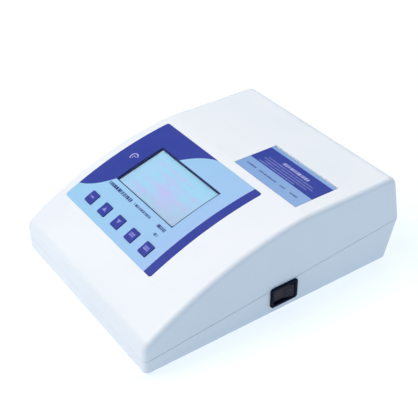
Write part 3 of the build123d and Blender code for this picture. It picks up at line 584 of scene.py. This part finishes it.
dark_steel = metal("steel_blackened", (0.2, 0.2, 0.22, 1.0), (0.35, 0.5))
sheet = metal("steel_sheet_brushed", (0.6, 0.61, 0.63, 1.0), (0.28, 0.42), (1.0, 18.0, 18.0))
zinc = metal("motor_zinc", (0.42, 0.42, 0.44, 1.0), (0.35, 0.5))
aluminium = metal("aluminium_milled", (0.72, 0.73, 0.75, 1.0), (0.25, 0.4), (1.0, 22.0, 1.0))
anodised = metal("anodised_black", (0.035, 0.035, 0.04, 1.0), (0.35, 0.5))
brass = metal("contact_brass", (0.72, 0.56, 0.28, 1.0), (0.22, 0.35))
optical_glass = glass("optical_glass", (0.96, 0.985, 1.0, 1.0))
quartz = glass("quartz_bulb", (0.97, 0.97, 1.0, 1.0), 0.02, QUARTZ_INDEX)
fuse_glass = glass("fuse_glass", (0.94, 0.96, 0.95, 1.0))

MATERIALS = {
    case_top_white_shaded_opening: "upper_case",
    case_white: "lower_case sample_lid",
    overlay_film(): "keypad_overlay",
    label_film(): "info_label",
    lit_display(): "lcd_panel",
    printed_window(): "display_window",
    key_film(): "key_1 key_2 key_3 key_4 key_5",
    circuit_board(): "display_board key_board detector_board main_board power_board",
    chips: "board_parts power_capacitors",
    black_plastic: "lcd_frame mains_inlet fuse_drawer fan_frame fan_rotor latch_body",
    switch_plastic: "switch_housing",
    rocker_cap(): "switch_rocker",
    chamber_black: "sample_chamber",
    anodised: "cuvette_holder lens_mount filter_bracket filter_wheel slit_mounts detector_bracket",
    rubber: "feet",
    foam: "lid_seal",
    grey_plastic: "latch_plunger",
    ceramic: "lamp_socket",
    tape: "transformer",
    steel: "lid_hinge_pin slit_blades detector plate_screws board_screws",
    dark_steel: "inlet_screws case_screws",
    sheet: "lamp_shield data_port",
    zinc: "filter_motor grating_motor",
    aluminium: "optical_plate grating_table",
    brass: "inlet_pins switch_terminals",
    optical_glass: "condenser_lens",
    quartz: "lamp_bulb",
    striped_filters(): "order_filters",
    ruled_mirror(): "grating",
    fuse_glass: "fuse",
}
for material, names in MATERIALS.items():
    for name in names.split():
        for material_slot in nodes[name].material_slots:
            material_slot.material = material

# Moulded signs on the rocker: a bar on the front half, a ring on the rear half

SIGN_PLACE = 5.8
SIGN_RADIUS = 1.8
SIGN_BEAD = 0.34
SIGN_SUNK = 0.16
RING_POINTS = 48
BAR_STEPS = 4
FRONT, REAR = -1, 1


def raised_sign(name, points, closed, side):
    """Half-sunk rounded bead along points, on the front or rear half of the rocker's face."""
    curve = bpy.data.curves.new(name, "CURVE")
    curve.dimensions = "3D"
    curve.bevel_depth = SIGN_BEAD * MM
    curve.bevel_resolution = 4
    curve.use_fill_caps = True
    spline = curve.splines.new("POLY")
    spline.points.add(len(points) - 1)
    for point, (across, up) in zip(spline.points, points):
        point.co = (across * MM, up * MM, 0.0, 1.0)
    spline.use_cyclic_u = closed
    slope = math.atan2(ROCKER_TIP[0] - ROCKER_DIP, ROCKER_TIP[1])
    rise = ROCKER_DIP + SIGN_PLACE * math.tan(slope) - SIGN_SUNK
    along = Vector((side * math.sin(slope), math.cos(slope), 0))
    place = Matrix((along, (0, 0, 1), along.cross((0, 0, 1)))).transposed().to_4x4()
    place.translation = Vector((rise, side * SIGN_PLACE, 0)) * MM
    pivot = Matrix.Translation(Vector((ROCKER_X, SWITCH_Y, SWITCH_Z)) * MM)
    made = bpy.data.objects.new(name, curve)
    bpy.context.scene.collection.objects.link(made)
    made.matrix_world = pivot @ Matrix.Rotation(-math.radians(ROCKER_ANGLE), 4, "Z") @ place
    curve.materials.append(sign_plastic)
    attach(made, "rocker")


ring_turns = [2 * math.pi * i / RING_POINTS for i in range(RING_POINTS)]
ring = [(SIGN_RADIUS * math.cos(turn), SIGN_RADIUS * math.sin(turn)) for turn in ring_turns]
bar = [(0.0, SIGN_RADIUS * i / BAR_STEPS) for i in range(-BAR_STEPS, BAR_STEPS + 1)]
raised_sign("rocker_sign_ring", ring, True, REAR)
raised_sign("rocker_sign_bar", bar, False, FRONT)

# Floor and backdrop, in metres

FLOOR_RADIUS = 5.0
COVE_RADIUS = 1.5
COVE_TOP = 5.0
COVE_STEPS = 8
STAGE_SIDES = 96
GLOW_SPAN = (0.5, 2.4)
GLOW_STRENGTH = (0.76, 1.0)


def ring_of_points(radius, height):
    """Level circle of points round the origin."""
    turns = [2 * math.pi * i / STAGE_SIDES for i in range(STAGE_SIDES)]
    return [(radius * math.cos(t), radius * math.sin(t), height) for t in turns]


def stage_surface(name, rings, closed, material):
    """Round stage surface through rings of points, with its middle closed or open."""
    points = [point for level in rings for point in level]
    faces = []
    for level in range(len(rings) - 1):
        for i in range(STAGE_SIDES):
            j = (i + 1) % STAGE_SIDES
            low, high = level * STAGE_SIDES, (level + 1) * STAGE_SIDES
            faces.append((low + i, high + i, high + j, low + j))
    if closed:
        faces.append(tuple(range(STAGE_SIDES)))
    mesh = bpy.data.meshes.new(name)
    mesh.from_pydata(points, [], faces)
    mesh.materials.append(material)
    made = bpy.data.objects.new(name, mesh)
    bpy.context.scene.collection.objects.link(made)
    return made


def floor_material():
    """Pale light table: greyish matt near the model, lit more strongly from below further out."""
    g = Graph("floor_light_table", Specular_IOR_Level=0.0)
    from_middle = g.node("VectorMath", {"Vector": g.coords}, operation="LENGTH")
    glow = g.ramp(from_middle.outputs["Value"], *GLOW_SPAN, *GLOW_STRENGTH)
    g.put(g.shader.inputs["Emission Strength"], glow)
    g.shader.inputs["Emission Color"].default_value = (0.9, 0.98, 1.07, 1.0)
    tone = g.mix(g.noise(3.0), (0.34, 0.34, 0.35, 1.0), (0.32, 0.32, 0.33, 1.0))
    return g.finish(tone, 0.9)


def backdrop_material():
    """Evenly glowing white."""
    g = Graph("backdrop_white", Specular_IOR_Level=0.0, Emission_Strength=1.0)
    tone = g.mix(g.noise(1.0), (1.0, 1.0, 1.0, 1.0), (0.97, 0.98, 1.0, 1.0))
    g.put(g.shader.inputs["Emission Color"], tone)
    return g.finish((0.0, 0.0, 0.0, 1.0), 0.9)


stage_surface("floor", [ring_of_points(FLOOR_RADIUS, 0.0)], True, floor_material())
cove = []
for step in range(COVE_STEPS + 1):
    bend = math.radians(90 * step / COVE_STEPS)
    out = FLOOR_RADIUS + COVE_RADIUS * math.sin(bend)
    cove.append(ring_of_points(out, COVE_RADIUS * (1 - math.cos(bend))))
cove.append(ring_of_points(FLOOR_RADIUS + COVE_RADIUS, COVE_TOP))
backdrop = stage_surface("backdrop", cove, False, backdrop_material())
backdrop.visible_diffuse = False
backdrop.visible_glossy = False
backdrop.visible_transmission = False
backdrop.visible_shadow = False

# Lights

LIGHT_TARGET = (0, 0, 0.05)
LIGHT_SIZE = 1.6
FILL_COLOUR = (0.09, 0.25, 0.4, 1.0)


def area_light(name, place, power, colour):
    """Square soft box aimed at the model."""
    light = bpy.data.lights.new(name, "AREA")
    light.shape = "SQUARE"
    light.size = LIGHT_SIZE
    light.energy = power
    light.color = colour
    lamp = bpy.data.objects.new(name, light)
    bpy.context.scene.collection.objects.link(lamp)
    lamp.location = place
    aim = Vector(LIGHT_TARGET) - Vector(place)
    lamp.rotation_euler = aim.to_track_quat("-Z", "Y").to_euler()


area_light("key_light", (-0.45, -1.3, 2.0), 46.0, (1.0, 0.86, 0.73))
area_light("top_light", (-0.3, 0.9, 2.2), 27.0, (1.0, 0.83, 0.69))

world = bpy.data.worlds.new("studio")
bpy.context.scene.world = world
world.use_nodes = True
background = world.node_tree.nodes["Background"]
background.inputs["Color"].default_value = FILL_COLOUR
background.inputs["Strength"].default_value = 1.0

# Camera, with its angles in degrees

CAMERA_PLACE = (0.5553, -0.3876, 0.5378)
CAMERA_AZIMUTH = 55.246
CAMERA_ELEVATION = 35.774
CAMERA_ROLL = -0.43
CAMERA_LENS = 77.8

azimuth = math.radians(CAMERA_AZIMUTH)
elevation = math.radians(CAMERA_ELEVATION)
roll = math.radians(CAMERA_ROLL)
back = Vector((
    math.sin(azimuth) * math.cos(elevation),
    -math.cos(azimuth) * math.cos(elevation),
    math.sin(elevation),
))
level_right = Vector((math.cos(azimuth), math.sin(azimuth), 0))
level_up = back.cross(level_right)
right = math.cos(roll) * level_right + math.sin(roll) * level_up
up = back.cross(right)
camera_data = bpy.data.cameras.new("camera")
camera_data.lens = CAMERA_LENS
camera = bpy.data.objects.new("camera", camera_data)
bpy.context.scene.collection.objects.link(camera)
rotation = Matrix((right, up, back)).transposed().to_4x4()
camera.matrix_world = Matrix.Translation(CAMERA_PLACE) @ rotation
bpy.context.scene.camera = camera
bpy.context.scene.view_settings.view_transform = "Standard"
